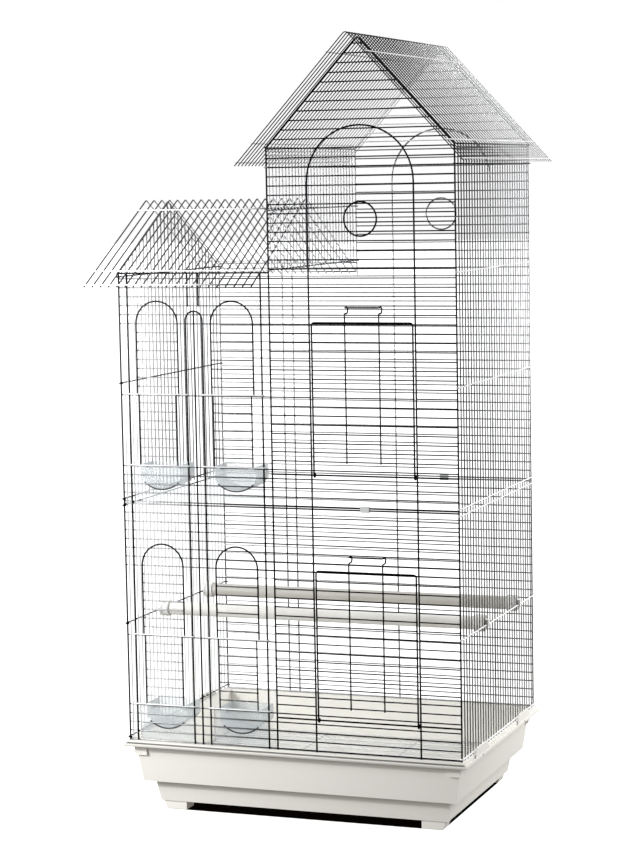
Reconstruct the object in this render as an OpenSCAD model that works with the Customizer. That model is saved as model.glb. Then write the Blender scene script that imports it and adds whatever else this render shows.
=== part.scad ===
// House-shaped canary breeding cage: a moulded tray, a welded wire body in two
// stacked halves with a low wing and a gabled tower, two drop-down doors, four
// sliding feeder doors with hanging cups, two perches and a floor grate.
// Millimetres, +Z up, the doors face -Y.

/* [Wire grid] */
// Spacing of the bars in every welded panel
bar_pitch = 12.7; // [12.5:0.05:12.9]
// Diameter of the thin bars
bar_d = 1.6; // [1.4:0.05:1.7]
// Diameter of the posts, arches and gable wires
post_d = 2.2; // [2:0.05:2.4]
// Diameter of the rails along the edges of the front and back panels
rail_d = 2; // [1.8:0.05:2.2]
// Diameter of the depth wires on the side panels
depth_d = 1.8; // [1.6:0.05:2]
// Diameter of the roof wires and roof rods
roof_d = 1.8; // [1.6:0.05:2]
// How far two crossing wires sink into each other at a weld
weld = 0.15; // [0.1:0.01:0.2]
// Running gap between pieces that only touch or slide
gap = 0.3; // [0.25:0.01:0.35]

/* [Wire body] */
// Width of the tower over its corner posts
tower_w = 271.4; // [264:0.2:280]
// Bars in the depth of the cage
depth_cells = 29; // [28:1:30]
// Rows of bars in the lower half
low_rows = 27; // [26:1:28]
// Rows of bars in the tower wall of the upper half
tower_rows = 39; // [38:1:40]
// Height of the wing wall in the upper half
wing_wall_h = 325.2; // [323:0.2:328]
// Step between the rails of the two halves at the seam
seam_step = 3.3; // [3:0.05:3.6]
// Slope of the tower roof
tower_slope = 47.3; // [46:0.1:48.5]
// Slope of the wing roof
wing_slope = 28.4; // [27.5:0.1:29.5]
// Inside radius of the bend at a ridge
ridge_r = 5; // [4:0.5:6]
// How far the tower roof reaches past the side walls
tower_eave = 28; // [25:0.5:31]
// How far the wing roof reaches past the front and back walls
wing_eave = 35.5; // [33:0.5:38]
// How far the wing roof's last wire stays short of the tower's corner
wing_roof_in = 12; // [10:0.5:15]
// Level reach from the ridge to the upper rod of the tower roof
tower_rod_in = 28; // [24:0.5:32]
// Level reach from the ridge to the upper rod of the wing roof
wing_rod_in = 30; // [26:0.5:34]

/* [Doors] */
// Spread of the tower arch between its two uprights
arch_w = 154; // [150:0.2:158]
// Space between a door's side wire and the upright beside it, middle to middle
door_play = 3.6; // [3.2:0.1:4.4]
// Spread of the two latch wires of a door
latch_w = 49.6; // [44:0.4:56]
// Radius of the ring in the tower front
ring_r = 23.5; // [21:0.5:26]
// Width of a feeder door between its side wires
feeder_w = 58; // [56:0.5:58.5]

/* [Cups] */
// Width of a cup's front plate
cup_plate_w = 83; // [80:0.5:84]
// Width of a cup's trough
cup_w = 65; // [60:0.5:68]
// Depth of a cup's trough behind the plate
cup_reach = 46; // [42:0.5:50]
// Spread of a cup's two hooks
hook_w = 50; // [46:0.5:54]
// Wall of a cup
cup_wall = 1.6; // [1.4:0.1:1.8]

/* [Perches] */
// Diameter of a perch
perch_d = 19.5; // [18.5:0.25:20.5]
// Outside diameter of a perch end cap
cap_d = 24; // [23.5:0.25:25]

/* [Tray] */
// Height of the tray from the floor to the top of its rim
base_h = 107; // [104:0.5:110]
// How far the rim stands out past the wire body
rim_out = 7.5; // [7.3:0.1:9]
// Height of the raised bead that the wire body stands on
bead_h = 4.4; // [4:0.1:4.8]
// Distance of the ears on the side rims from the middle of the tray
ear_y = 108; // [100:1:116]
// Wall of the tray
tray_wall = 2.6; // [2.4:0.1:3]
// Height of the feet
foot_h = 12; // [10:0.5:13]
// Length of a foot along the front
foot_w = 36; // [33:1:40]

/* [Hidden] */
sides = 8;
feeder_d = 1.8;
hinge_d = 2.2;
eye_r = hinge_d / 2 + gap + post_d / 2;
wing_w = 18 * bar_pitch;
cage_w = wing_w + tower_w;
cage_d = depth_cells * bar_pitch;
tower_x = wing_w + tower_w / 2;
arch_x = [tower_x - arch_w / 2, tower_x + arch_w / 2];
door_x = [arch_x[0] + door_play, arch_x[1] - door_play];
low_z = base_h + gap + rail_d / 2;
low_top = low_z + low_rows * bar_pitch;
up_z = low_top + seam_step;
wing_z = up_z + wing_wall_h;
eave_z = up_z + tower_rows * bar_pitch + 2;
post_low_top = up_z - rail_d / 2 - gap;
side_out = post_d / 2 + gap + depth_d / 2;
side_bar = side_out - depth_d / 2 - bar_d / 2 + weld;
bar_y = lay(bar_d);
rail_y = lay(rail_d);
hinge_y = lay(hinge_d);
door_y = hinge_y - eye_r;
hook_off = 3;
bend_fat = 0.02;
lap = 0.2;
// tower roof
tower_gable_h = tower_w / 2 * tan(tower_slope);
roof_rise = (depth_d / 2 + roof_d / 2 + gap) / cos(tower_slope);
tower_ridge = eave_z + roof_rise + (tower_w / 2 + side_out) * tan(tower_slope);
tower_tip = tower_w / 2 + tower_eave;
tower_y0 = -3.7 * bar_pitch;
tower_bows = depth_cells + 7;
// wing roof
wing_rise = (rail_d / 2 + roof_d / 2 + gap) / cos(wing_slope);
wing_ridge = wing_z + wing_rise + (cage_d / 2 - rail_y) * tan(wing_slope);
wing_tip = cage_d / 2 + wing_eave;
wing_x1 = wing_w - wing_roof_in;
wing_bows = 21;
gable_z = wing_ridge - (depth_d / 2 + roof_d / 2 + gap) / cos(wing_slope);
// feeder doors, windows and cups
feeder_y = -(post_d / 2 + gap + feeder_d / 2 + 0.05);
feeder_off = bar_d / 2 + feeder_d / 2 + gap;
curl_r = -feeder_y;
win_x = [[1, 2, 7, 8], [10, 11, 16, 17]];
cup_y = rail_y + rail_d / 2 + 0.1;
// perches
perch_z = low_z + 13.3 * bar_pitch;
perch_ys = [9.5 * bar_pitch, 22.5 * bar_pitch];
// tray plan
rim_x = cage_w / 2 + rim_out;
rim_y = cage_d / 2 + rim_out;
in_top = rim_out + 4.3;
in_mid = in_top + 9;
in_low = in_mid + 13;
in_bot = in_low + 5.5;
step_z = 44;
// centre of the overall box, moved to the origin
min_x = wing_x1 - (wing_bows - 1) * bar_pitch - 1.2;
max_x = tower_x + tower_tip + roof_d / 2 * sin(tower_slope);
min_y = tower_y0 - 1.2;
max_y = cage_d + wing_eave + roof_d / 2 * sin(wing_slope);
mid = [(min_x + max_x) / 2, (min_y + max_y) / 2, 0];
$fn = 96;

// ---- wire shapes: every wire is an octagon with its flats square to the axes ----
function across(d) = d / cos(180 / sides);
// distance of an inner layer wire behind the middle of the posts
function lay(d) = post_d / 2 + d / 2 - weld;

module section(d) { rotate(180 / sides) circle(d = across(d), $fn = sides); }
module rod(h, d) { rotate([0, 0, 180 / sides]) cylinder(h = h, d = across(d), $fn = sides); }
module wire_x(x0, x1, y, z, d) { translate([x0, y, z]) rotate([0, 90, 0]) rod(x1 - x0, d); }
module wire_y(x, y0, y1, z, d) { translate([x, y0, z]) rotate([-90, 0, 0]) rod(y1 - y0, d); }
module wire_z(x, y, z0, z1, d) { translate([x, y, z0]) rod(z1 - z0, d); }
// a bend is a hair fatter than its wire, and the straight wires run a little way into it
module bend(r, a, s, d) {
  rotate([0, 0, a]) rotate_extrude(angle = s) translate([r, 0]) section(d + 2 * bend_fat);
}
module bend_xy(x, y, z, r, a, s, d) { translate([x, y, z]) bend(r, a, s, d); }
module bend_xz(x, y, z, r, a, s, d) { translate([x, y, z]) rotate([90, 0, 0]) bend(r, a, s, d); }
module bend_yz(x, y, z, r, a, s, d) { translate([x, y, z]) rotate([90, 0, 90]) bend(r, a, s, d); }

// a wire bent over a ridge, in the XZ plane, with its middle at x = 0 and z = 0 at
// the sharp corner; half is the level reach of each leg
module bow(half, slope, r, d) {
  t = r * tan(slope);
  for (s = [-1, 1]) {
    translate([s * (t - lap) * cos(slope), 0, -(t - lap) * sin(slope)])
      rotate([0, s * (90 + slope), 0]) rod(half / cos(slope) - t + lap, d);
  }
  bend_xz(0, 0, -r / cos(slope), r, 90 - slope, 2 * slope, d);
}

module place() { translate(-mid) children(); }
module at_back() { translate([0, cage_d, 0]) mirror([0, 1, 0]) children(); }
module at_left() { mirror([1, 0, 0]) children(); }
module steel(c = "silver") { color(c) place() children(); }

// ---- front and back panels ----
// round-headed window: two uprights, a half circle and the bars between them
module arch(x0, x1, z0, spring, d) {
  r = (x1 - x0) / 2;
  wire_z(x0, 0, z0, spring + lap, d);
  wire_z(x1, 0, z0, spring + lap, d);
  bend_xz((x0 + x1) / 2, 0, spring, r, 0, 180, d);
}

module wing_windows(z) {
  for (w = win_x) {
    arch(w[1] * bar_pitch, w[2] * bar_pitch, z + 12 * bar_pitch, z + 20 * bar_pitch, post_d);
    for (k = [13:19]) wire_x(w[1] * bar_pitch, w[2] * bar_pitch, bar_y, z + k * bar_pitch, bar_d);
  }
}

// bars of a front panel between its rails, open at the door and the feeder doors
module front_bars(z, rows, wing_rows) {
  for (k = [1:rows]) {
    in_door = k > 4 && k < 20;
    in_wing = k <= 4 || k == 12 || (k >= 20 && k <= wing_rows);
    x0 = in_wing ? 0 : wing_w;
    if (in_door) {
      wire_x(x0, arch_x[0], bar_y, z + k * bar_pitch, bar_d);
      wire_x(arch_x[1], cage_w, bar_y, z + k * bar_pitch, bar_d);
    } else wire_x(x0, cage_w, bar_y, z + k * bar_pitch, bar_d);
  }
  wire_x(wing_w, cage_w, hinge_y, z + 3.5 * bar_pitch, hinge_d);
}

module lower_front_panel() {
  steel() {
    for (z = [low_z, low_top]) wire_x(0, cage_w, rail_y, z, rail_d);
    front_bars(low_z, low_rows - 1, low_rows - 1);
    wing_windows(low_z);
    for (x = [for (i = [0, 1, 8, 9, 10, 17, 18]) i * bar_pitch, arch_x[0], arch_x[1], cage_w])
      wire_z(x, 0, low_z - rail_d / 2, post_low_top, post_d);
  }
}

module lower_back_panel() {
  steel() at_back() {
    for (z = [low_z, low_top]) wire_x(0, cage_w, rail_y, z, rail_d);
    for (k = [1:low_rows - 1]) wire_x(0, cage_w, bar_y, low_z + k * bar_pitch, bar_d);
    for (x = [0, 8.3 * bar_pitch, 9.6 * bar_pitch, arch_x[0], arch_x[1], cage_w])
      wire_z(x, 0, low_z - rail_d / 2, post_low_top, post_d);
  }
}

// gable of the tower: bent wire and the bars that fill it
module tower_gable() {
  apex = eave_z + tower_gable_h;
  translate([tower_x, 0, apex]) bow(tower_w / 2, tower_slope, ridge_r, post_d);
  first = tower_rows + 1;
  last = floor((apex - 9 - up_z) / bar_pitch);
  for (k = [first:last]) {
    h = (apex - up_z - k * bar_pitch) / tan(tower_slope);
    wire_x(tower_x - h, tower_x + h, bar_y, up_z + k * bar_pitch, bar_d);
  }
}

module tower_arch() {
  arch(arch_x[0], arch_x[1], up_z - rail_d / 2, up_z + 35.3 * bar_pitch, post_d);
  bend_xz(tower_x, 0, up_z + 31.35 * bar_pitch, ring_r, 0, 360, post_d);
}

module upper_front_panel() {
  wing_rows = floor((wing_wall_h - 5) / bar_pitch);
  steel() {
    wire_x(0, cage_w, rail_y, up_z, rail_d);
    wire_x(0, wing_w, rail_y, wing_z, rail_d);
    front_bars(up_z, tower_rows, wing_rows);
    wing_windows(up_z);
    tower_arch();
    tower_gable();
    for (i = [0, 1, 17]) wire_z(i * bar_pitch, 0, up_z - rail_d / 2, wing_z, post_d);
    for (x = [wing_w, cage_w]) wire_z(x, 0, up_z - rail_d / 2, eave_z + 0.6, post_d);
    // narrow centre arch with its mid wire, and the two short wires above it
    arch(8 * bar_pitch, 10 * bar_pitch, up_z - rail_d / 2, up_z + 20.4 * bar_pitch, post_d);
    wire_z(9 * bar_pitch, 0, up_z - rail_d / 2, up_z + 21.4 * bar_pitch, post_d);
    for (i = [8.3, 9.6]) wire_z(i * bar_pitch, 0, up_z + 22 * bar_pitch - 1, wing_z, post_d);
  }
}

module upper_back_panel() {
  wing_rows = floor((wing_wall_h - 5) / bar_pitch);
  steel() at_back() {
    wire_x(0, cage_w, rail_y, up_z, rail_d);
    wire_x(0, wing_w, rail_y, wing_z, rail_d);
    for (k = [1:tower_rows])
      wire_x(k <= wing_rows ? 0 : wing_w, cage_w, bar_y, up_z + k * bar_pitch, bar_d);
    tower_arch();
    tower_gable();
    for (x = [0, 8.3 * bar_pitch, 9.6 * bar_pitch])
      wire_z(x, 0, up_z - rail_d / 2, wing_z, post_d);
    wire_z(wing_w, 0, wing_z - 1.5 * bar_pitch, eave_z + 0.6, post_d);
    wire_z(cage_w, 0, up_z - rail_d / 2, eave_z + 0.6, post_d);
  }
}

// ---- side panels, built facing +X with the corner posts at x = 0 ----
// depth wire that hooks round both corner posts
module hooked_wire(z) {
  wire_y(side_out, -lap, cage_d + lap, z, depth_d);
  bend_xy(0, 0, z, side_out, 180, 180, depth_d);
  bend_xy(0, cage_d, z, side_out, 0, 180, depth_d);
}

module side_bars(z0, z1) {
  for (i = [1:depth_cells - 1]) wire_z(side_bar, i * bar_pitch, z0, z1, bar_d);
}

module lower_side() {
  side_bars(low_z - rail_d / 2, post_low_top);
  for (z = [low_z + hook_off, perch_z, low_top - hook_off]) hooked_wire(z);
}

module lower_right_panel() { steel() translate([cage_w, 0, 0]) lower_side(); }
module lower_left_panel() { steel() at_left() lower_side(); }

module upper_right_panel() {
  steel() translate([cage_w, 0, 0]) {
    side_bars(up_z - rail_d / 2, eave_z);
    for (z = [up_z + hook_off, up_z + 13.3 * bar_pitch, up_z + 25.6 * bar_pitch, eave_z - 27])
      hooked_wire(z);
    wire_y(side_out, -1, cage_d + 1, eave_z, depth_d);
  }
}

module wing_left_panel() {
  steel() at_left() {
    for (i = [1:depth_cells - 1]) {
      h = abs(cage_d / 2 - i * bar_pitch);
      wire_z(side_bar, i * bar_pitch, up_z - rail_d / 2, gable_z - max(h, 1.5) * tan(wing_slope), bar_d);
    }
    for (z = [up_z + hook_off, up_z + 13.3 * bar_pitch, wing_z - 5]) hooked_wire(z);
    translate([side_out, cage_d / 2, gable_z])
      rotate([0, 0, 90]) bow(cage_d / 2, wing_slope, ridge_r, depth_d);
  }
}

module tower_left_panel() {
  steel() translate([wing_w, 0, 0]) at_left() {
    side_bars(wing_z + 1.5, eave_z);
    for (z = [wing_z + 3.3, wing_z + 86, eave_z - 27]) hooked_wire(z);
    wire_y(side_out, -1, cage_d + 1, eave_z, depth_d);
  }
}

// ---- roofs: bows of wire tied by rods that lie on top of them ----
module tower_roof() {
  lift = (roof_d - weld) / cos(tower_slope);
  y1 = tower_y0 + (tower_bows - 1) * bar_pitch;
  steel() {
    for (i = [0:tower_bows - 1])
      translate([tower_x, tower_y0 + i * bar_pitch, tower_ridge])
        bow(tower_tip, tower_slope, ridge_r, roof_d);
    for (s = [-1, 1], h = [tower_rod_in, tower_w / 2 + 2.5, tower_tip - 2])
      translate([tower_x + s * h, tower_y0 - 1.2, tower_ridge + lift - h * tan(tower_slope)])
        rotate([0, s * tower_slope, 0]) rotate([-90, 0, 0]) rod(y1 - tower_y0 + 2.4, roof_d);
  }
}

module wing_roof() {
  lift = (roof_d - weld) / cos(wing_slope);
  x0 = wing_x1 - (wing_bows - 1) * bar_pitch;
  reach = wing_w - side_out - depth_d / 2 - gap;
  steel() {
    for (i = [0:wing_bows - 1])
      translate([x0 + i * bar_pitch, cage_d / 2, wing_ridge])
        rotate([0, 0, 90]) bow(wing_tip, wing_slope, ridge_r, roof_d);
    for (s = [-1, 1], h = [wing_rod_in, cage_d / 2, wing_tip - 2])
      translate([x0 - 1.2, cage_d / 2 + s * h, wing_ridge + lift - h * tan(wing_slope)])
        rotate([-s * wing_slope, 0, 0]) rotate([0, 90, 0])
          rod((h == wing_rod_in ? reach : wing_x1 + 1.2) - x0 + 1.2, roof_d);
  }
}

// ---- clips that snap over the two rails at the seam ----
module seam_clip() {
  r = rail_d / 2;
  difference() {
    translate([-6.5, rail_y - r - 1.5, low_top - r - 1.5])
      cube([13, rail_d + 2.6, seam_step + rail_d + 3]);
    for (z = [low_top, up_z]) {
      wire_x(-7, 7, rail_y, z, rail_d + 0.3);
      translate([-7, rail_y, z - r * 0.8]) cube([14, 4, rail_d * 0.8]);
    }
  }
}

module seam_clips() {
  color("gray") place() {
    translate([tower_x, 0, 0]) seam_clip();
    at_back() translate([tower_x, 0, 0]) seam_clip();
  }
}

// ---- drop-down doors ----
// frame bent from one wire with an eye at each foot, bars behind it, and a latch
// wire whose two loops reach over the bar above the door and carry a thumb bar
module door(z) {
  top = z + 20 * bar_pitch + 2.2;
  hinge = z + 3.5 * bar_pitch;
  x0 = door_x[0];
  x1 = door_x[1];
  r = 4;
  latch_d = bar_d;
  hook_z = z + 21 * bar_pitch + bar_d / 2 + latch_d / 2 + gap;
  loop_r = 4.1;
  for (x = [x0, x1]) {
    wire_z(x, door_y, hinge - lap, top - r + lap, post_d);
    bend_yz(x, hinge_y, hinge, eye_r, 180, 300, post_d);
  }
  wire_x(x0 + r - lap, x1 - r + lap, door_y, top, post_d);
  bend_xz(x0 + r, door_y, top - r, r, 90, 90, post_d);
  bend_xz(x1 - r, door_y, top - r, r, 0, 90, post_d);
  for (k = [5:19]) wire_x(x0 - 0.9, x1 + 0.9, door_y + lay(bar_d), z + k * bar_pitch, bar_d);
  ly = door_y + post_d / 2 - latch_d / 2;
  for (s = [-1, 1]) {
    x = tower_x + s * latch_w / 2;
    wire_z(x, ly, z + 5 * bar_pitch - 2, hook_z - 2.5 + lap, latch_d);
    bend_yz(x, ly + 2.5, hook_z - 2.5, 2.5, 90, 90, latch_d);
    wire_y(x, ly + 2.5 - lap, 9 + lap, hook_z, latch_d);
    bend_yz(x, 9, hook_z + loop_r, loop_r, -90, 180, latch_d);
    wire_y(x, ly, 9 + lap, hook_z + 2 * loop_r, latch_d);
  }
  wire_x(tower_x - latch_w / 2 - 1.3, tower_x + latch_w / 2 + 1.3, ly, hook_z + 2 * loop_r, latch_d);
}

module lower_door() { steel() door(low_z); }
module upper_door() { steel() door(up_z); }

// ---- feeder doors: a small grille that slides up two posts on its curled ends ----
module feeder_door(z, w) {
  zb = z + 4 * bar_pitch + feeder_off;
  xa = w[0] * bar_pitch;
  xb = w[3] * bar_pitch;
  xm = (xa + xb) / 2;
  for (zz = [zb, zb + 8 * bar_pitch]) {
    wire_x(xa - lap, xb + lap, feeder_y, zz, feeder_d);
    bend_xy(xa, 0, zz, curl_r, 90, 180, feeder_d);
    bend_xy(xb, 0, zz, curl_r, -90, 180, feeder_d);
  }
  for (s = [-1, 1])
    wire_z(xm + s * feeder_w / 2, feeder_y, zb, zb + 8 * bar_pitch, feeder_d);
  for (k = [1:7])
    wire_x(xm - feeder_w / 2 - 0.7, xm + feeder_w / 2 + 0.7,
      feeder_y + feeder_d / 2 + bar_d / 2 - weld, zb + k * bar_pitch, bar_d);
}

module feeder_door_upper_left() { steel() feeder_door(up_z, win_x[0]); }
module feeder_door_upper_right() { steel() feeder_door(up_z, win_x[1]); }
module feeder_door_lower_left() { steel() feeder_door(low_z, win_x[0]); }
module feeder_door_lower_right() { steel() feeder_door(low_z, win_x[1]); }

// ---- feeder cups: a trough with a round belly behind a plate with two hooks ----
module trough(w, reach, r, h) {
  intersection() {
    translate([-w / 2, 0, -h]) cube([w, reach, h]);
    translate([0, -1, r - h]) rotate([-90, 0, 0]) cylinder(h = reach + 2, r = r);
  }
}

module feeder_cup(z, w) {
  z4 = z + 4 * bar_pitch;
  top = z4 + bar_d / 2 + gap + 1.5;
  belly = 40;
  h = 36;
  color("lightblue") place() translate([(w[0] + w[3]) / 2 * bar_pitch, cup_y, 0]) {
    difference() {
      union() {
        translate([-cup_plate_w / 2, 0, z + 2.5]) cube([cup_plate_w, cup_wall, top - z - 2.5]);
        translate([0, 0, top]) trough(cup_w, cup_reach, belly, h);
      }
      translate([0, cup_wall, top + 1]) trough(cup_w - 2 * cup_wall, cup_reach - 2 * cup_wall,
        belly - cup_wall, h + 1 - cup_wall);
    }
    // hooks over the bar
    for (s = [-1, 1]) translate([s * hook_w / 2 - 4, 0, 0]) {
      front = bar_y - bar_d / 2 - gap - 1.2 - cup_y;
      translate([0, front, top - 1.5]) cube([8, 0.5 - front, 1.5]);
      translate([0, front, z4 - 2.4]) cube([8, 1.2, top - z4 + 2.4]);
    }
  }
}

module feeder_cup_upper_left() { feeder_cup(up_z, win_x[0]); }
module feeder_cup_upper_right() { feeder_cup(up_z, win_x[1]); }
module feeder_cup_lower_left() { feeder_cup(low_z, win_x[0]); }
module feeder_cup_lower_right() { feeder_cup(low_z, win_x[1]); }

// ---- perches and the caps that hook their ends over the side wires ----
cap_len = 14;
cap_wall = 2.5;
cap_in = 0.4;
perch_end = -(side_bar - bar_d / 2) + cap_in + cap_wall + gap;
perch_cz = perch_z + 2;

module perch(y, c) {
  color(c) place() translate([perch_end, y, perch_cz])
    rotate([0, 90, 0]) cylinder(h = cage_w - 2 * perch_end, d = perch_d);
}

// cap on the left end, open towards +X, with a hooked tongue between two bars
module perch_cap(y) {
  x0 = -(side_bar - bar_d / 2) + cap_in;
  translate([0, y, perch_cz]) difference() {
    union() {
      translate([x0, 0, 0]) rotate([0, 90, 0]) cylinder(h = cap_len, d = cap_d);
      translate([-side_out - depth_d / 2 - 2, -4, -5]) cube([side_out + depth_d / 2 + 2 + x0 + 1, 8, 11]);
    }
    translate([perch_end - 0.2, 0, 0]) rotate([0, 90, 0]) cylinder(h = cap_len + 1, d = perch_d + 0.3);
    translate([-side_out - depth_d / 2 - 0.2, -5, -6])
      cube([depth_d + 0.4, 10, 6 + perch_z - perch_cz + depth_d / 2 + 0.2]);
  }
}

module perch_caps(y) {
  color("ivory") place() {
    perch_cap(y);
    translate([cage_w, 0, 0]) at_left() perch_cap(y);
  }
}

module front_perch() { perch(perch_ys[0], "ivory"); }
module rear_perch() { perch(perch_ys[1], "tan"); }
module front_perch_caps() { perch_caps(perch_ys[0]); }
module rear_perch_caps() { perch_caps(perch_ys[1]); }

// ---- tray ----
// solid with four sloping sides, given by a list of [inset, height] up one side
module sloped(p) {
  n = len(p) - 1;
  prof = function(h) concat([for (q = p) [h - q[0], q[1]]], [for (i = [n:-1:0]) [p[i][0] - h, p[i][1]]]);
  intersection() {
    rotate([90, 0, 0]) translate([0, 0, -rim_y]) linear_extrude(height = 2 * rim_y) polygon(prof(rim_x));
    rotate([90, 0, 90]) translate([0, 0, -rim_x]) linear_extrude(height = 2 * rim_x) polygon(prof(rim_y));
  }
}

module block(inset, z0, z1) {
  translate([-rim_x + inset, -rim_y + inset, z0]) cube([2 * (rim_x - inset), 2 * (rim_y - inset), z1 - z0]);
}

module corners() { for (sx = [-1, 1], sy = [-1, 1]) scale([sx, sy, 1]) children(); }

lip_z = base_h - 8.6;
bead_z = base_h - bead_h;
ledge_z = step_z + tray_wall;
floor_z = foot_h + 3;
bead_in = 2.6;
pad_w = 19;
pad_z = base_h - 23;
ear_x = side_out + depth_d / 2 + 0.6;

module tray_base() {
  color("ivory") place() translate([cage_w / 2, cage_d / 2, 0]) {
    difference() {
      union() {
        // outer wall in two sloping tiers
        sloped([[in_bot, foot_h], [in_low, step_z], [in_mid, step_z], [in_top, base_h - 0.5]]);
        // flange with a turned-down lip, a groove and the bead above it
        block(0, lip_z, bead_z);
        block(bead_in + 1, bead_z - 0.5, bead_z + 1.5);
        block(bead_in, bead_z + 1, base_h);
        // upright pads at the corners below the flange
        corners() translate([rim_x - in_top + 0.4 - pad_w, rim_y - in_top + 0.4 - 13, pad_z])
          cube([pad_w, 13, bead_z - pad_z]);
      }
      // hollow of the turned-down lip, kept clear of the wall and the pads
      difference() {
        block(2.4, lip_z - 1, bead_z - tray_wall);
        sloped([[in_mid, step_z], [in_top, base_h - 0.5]]);
        corners() translate([rim_x - in_top + 0.4 - pad_w, rim_y - in_top + 0.4 - 13, pad_z])
          cube([pad_w, 13, bead_z - pad_z]);
      }
      sloped([[in_bot + tray_wall, floor_z], [in_low + tray_wall, ledge_z],
        [in_mid + tray_wall, ledge_z], [in_top + tray_wall, base_h], [in_top + tray_wall, base_h + 1]]);
      // slots under the ears, through the lip
      for (s = [-1, 1], y = [-ear_y, ear_y])
        translate([s * rim_x - 3, y - 4.5, lip_z + 1]) cube([6, 9, 2]);
    }
    // ears that keep the wire body in place
    for (s = [-1, 1], y = [-ear_y, ear_y])
      translate([s * (cage_w / 2 + ear_x + 1.6) - 1.6, y, bead_z])
        rotate([90, 0, 90]) linear_extrude(height = 3.2)
          polygon([[-32, -0.5], [32, -0.5], [32, bead_h + 1], [22, bead_h + 8], [-22, bead_h + 8], [-32, bead_h + 1]]);
    // feet, drawn in at their outer ends
    corners() intersection() {
      translate([rim_x - in_bot - 3 - foot_w, rim_y - in_bot - 2 - 26, 0]) cube([foot_w, 26, foot_h + 1]);
      translate([0, 0, 0]) rotate([90, 0, 0]) translate([0, 0, -rim_y]) linear_extrude(height = 2 * rim_y)
        polygon([[0, -1], [rim_x - in_bot - 8, -1], [rim_x - in_bot - 3, foot_h + 1], [0, foot_h + 1]]);
    }
  }
}

// ---- floor grate lying on the tray's ledge ----
module floor_grate() {
  gx = rim_x - in_mid - tray_wall - 3.5;
  gy = rim_y - in_mid - tray_wall - 3.5;
  z = ledge_z + gap + post_d / 2;
  zb = z + post_d / 2 + bar_d / 2 - weld;
  n = floor((gy - 3) / bar_pitch);
  steel() translate([cage_w / 2, cage_d / 2, 0]) {
    for (i = [-3:2:3]) wire_y(i * (gx - 2) / 3, -gy, gy, z, post_d);
    for (i = [-n:n]) wire_x(-gx, gx, i * bar_pitch, zb, bar_d);
    for (s = [-1, 1]) wire_x(-gx, gx, s * (gy - 1), zb, bar_d);
  }
}

tray_base();
floor_grate();
lower_front_panel();
lower_back_panel();
lower_left_panel();
lower_right_panel();
upper_front_panel();
upper_back_panel();
upper_right_panel();
wing_left_panel();
tower_left_panel();
wing_roof();
tower_roof();
seam_clips();
lower_door();
upper_door();
feeder_door_upper_left();
feeder_door_upper_right();
feeder_door_lower_left();
feeder_door_lower_right();
feeder_cup_upper_left();
feeder_cup_upper_right();
feeder_cup_lower_left();
feeder_cup_lower_right();
front_perch();
rear_perch();
front_perch_caps();
rear_perch_caps();
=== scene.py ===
"""Looks of a house-shaped canary breeding cage: round plated wire, a moulded tray,
clear feeder cups and perches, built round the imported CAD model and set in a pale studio."""

import math

import bmesh
import bpy
import numpy as np
from bpy.props import FloatProperty, FloatVectorProperty, IntProperty, PointerProperty
from mathutils import Matrix, Vector


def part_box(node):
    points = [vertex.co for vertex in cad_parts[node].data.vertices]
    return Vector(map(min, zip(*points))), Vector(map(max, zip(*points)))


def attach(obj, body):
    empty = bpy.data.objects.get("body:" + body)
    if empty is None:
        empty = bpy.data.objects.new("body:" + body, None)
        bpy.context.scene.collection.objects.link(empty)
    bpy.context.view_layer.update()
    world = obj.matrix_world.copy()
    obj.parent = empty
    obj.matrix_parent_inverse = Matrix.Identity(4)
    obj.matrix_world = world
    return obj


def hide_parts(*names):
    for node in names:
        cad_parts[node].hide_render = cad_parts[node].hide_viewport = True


bl_info = {
    "name": "Canary cage looks",
    "version": (1, 0, 0),
    "blender": (4, 5, 0),
    "location": "3D View > Sidebar > Cage",
    "description": "Dresses the canary breeding cage in round wire, plastic and a studio",
    "category": "Object",
}

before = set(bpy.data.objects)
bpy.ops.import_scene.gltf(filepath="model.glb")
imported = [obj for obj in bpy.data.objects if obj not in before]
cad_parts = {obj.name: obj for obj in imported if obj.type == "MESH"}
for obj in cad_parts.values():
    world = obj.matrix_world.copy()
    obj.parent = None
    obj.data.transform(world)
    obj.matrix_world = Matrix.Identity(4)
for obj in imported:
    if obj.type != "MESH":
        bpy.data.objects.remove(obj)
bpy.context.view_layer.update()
MM = 0.001


# ---------------- settings
class CageWireSizes(bpy.types.PropertyGroup):
    """Sizes of the wires, in millimetres."""

    pitch: FloatProperty(name="Bar spacing", description="Spacing of the bars", default=12.7)
    bar: FloatProperty(name="Bar", description="Diameter of the thin bars", default=1.6)
    post: FloatProperty(name="Post", description="Diameter of posts and arches", default=2.2)
    rail: FloatProperty(name="Rail", description="Diameter of the edge rails", default=2.0)
    depth: FloatProperty(name="Depth wire", description="Diameter of the side wires", default=1.8)
    roof: FloatProperty(name="Roof wire", description="Diameter of the roof wires", default=1.8)
    weld: FloatProperty(name="Weld", description="How far welded wires sink in", default=0.15)
    coat: FloatProperty(name="Coat", description="Added to every diameter", default=0.25)
    sides: IntProperty(name="Sides", description="Faces round a wire", default=12, min=6)


def swatch(name, description, *default):
    """A colour that the user can change."""
    return FloatVectorProperty(name=name, description=description, subtype="COLOR",
                               default=default)


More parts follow.
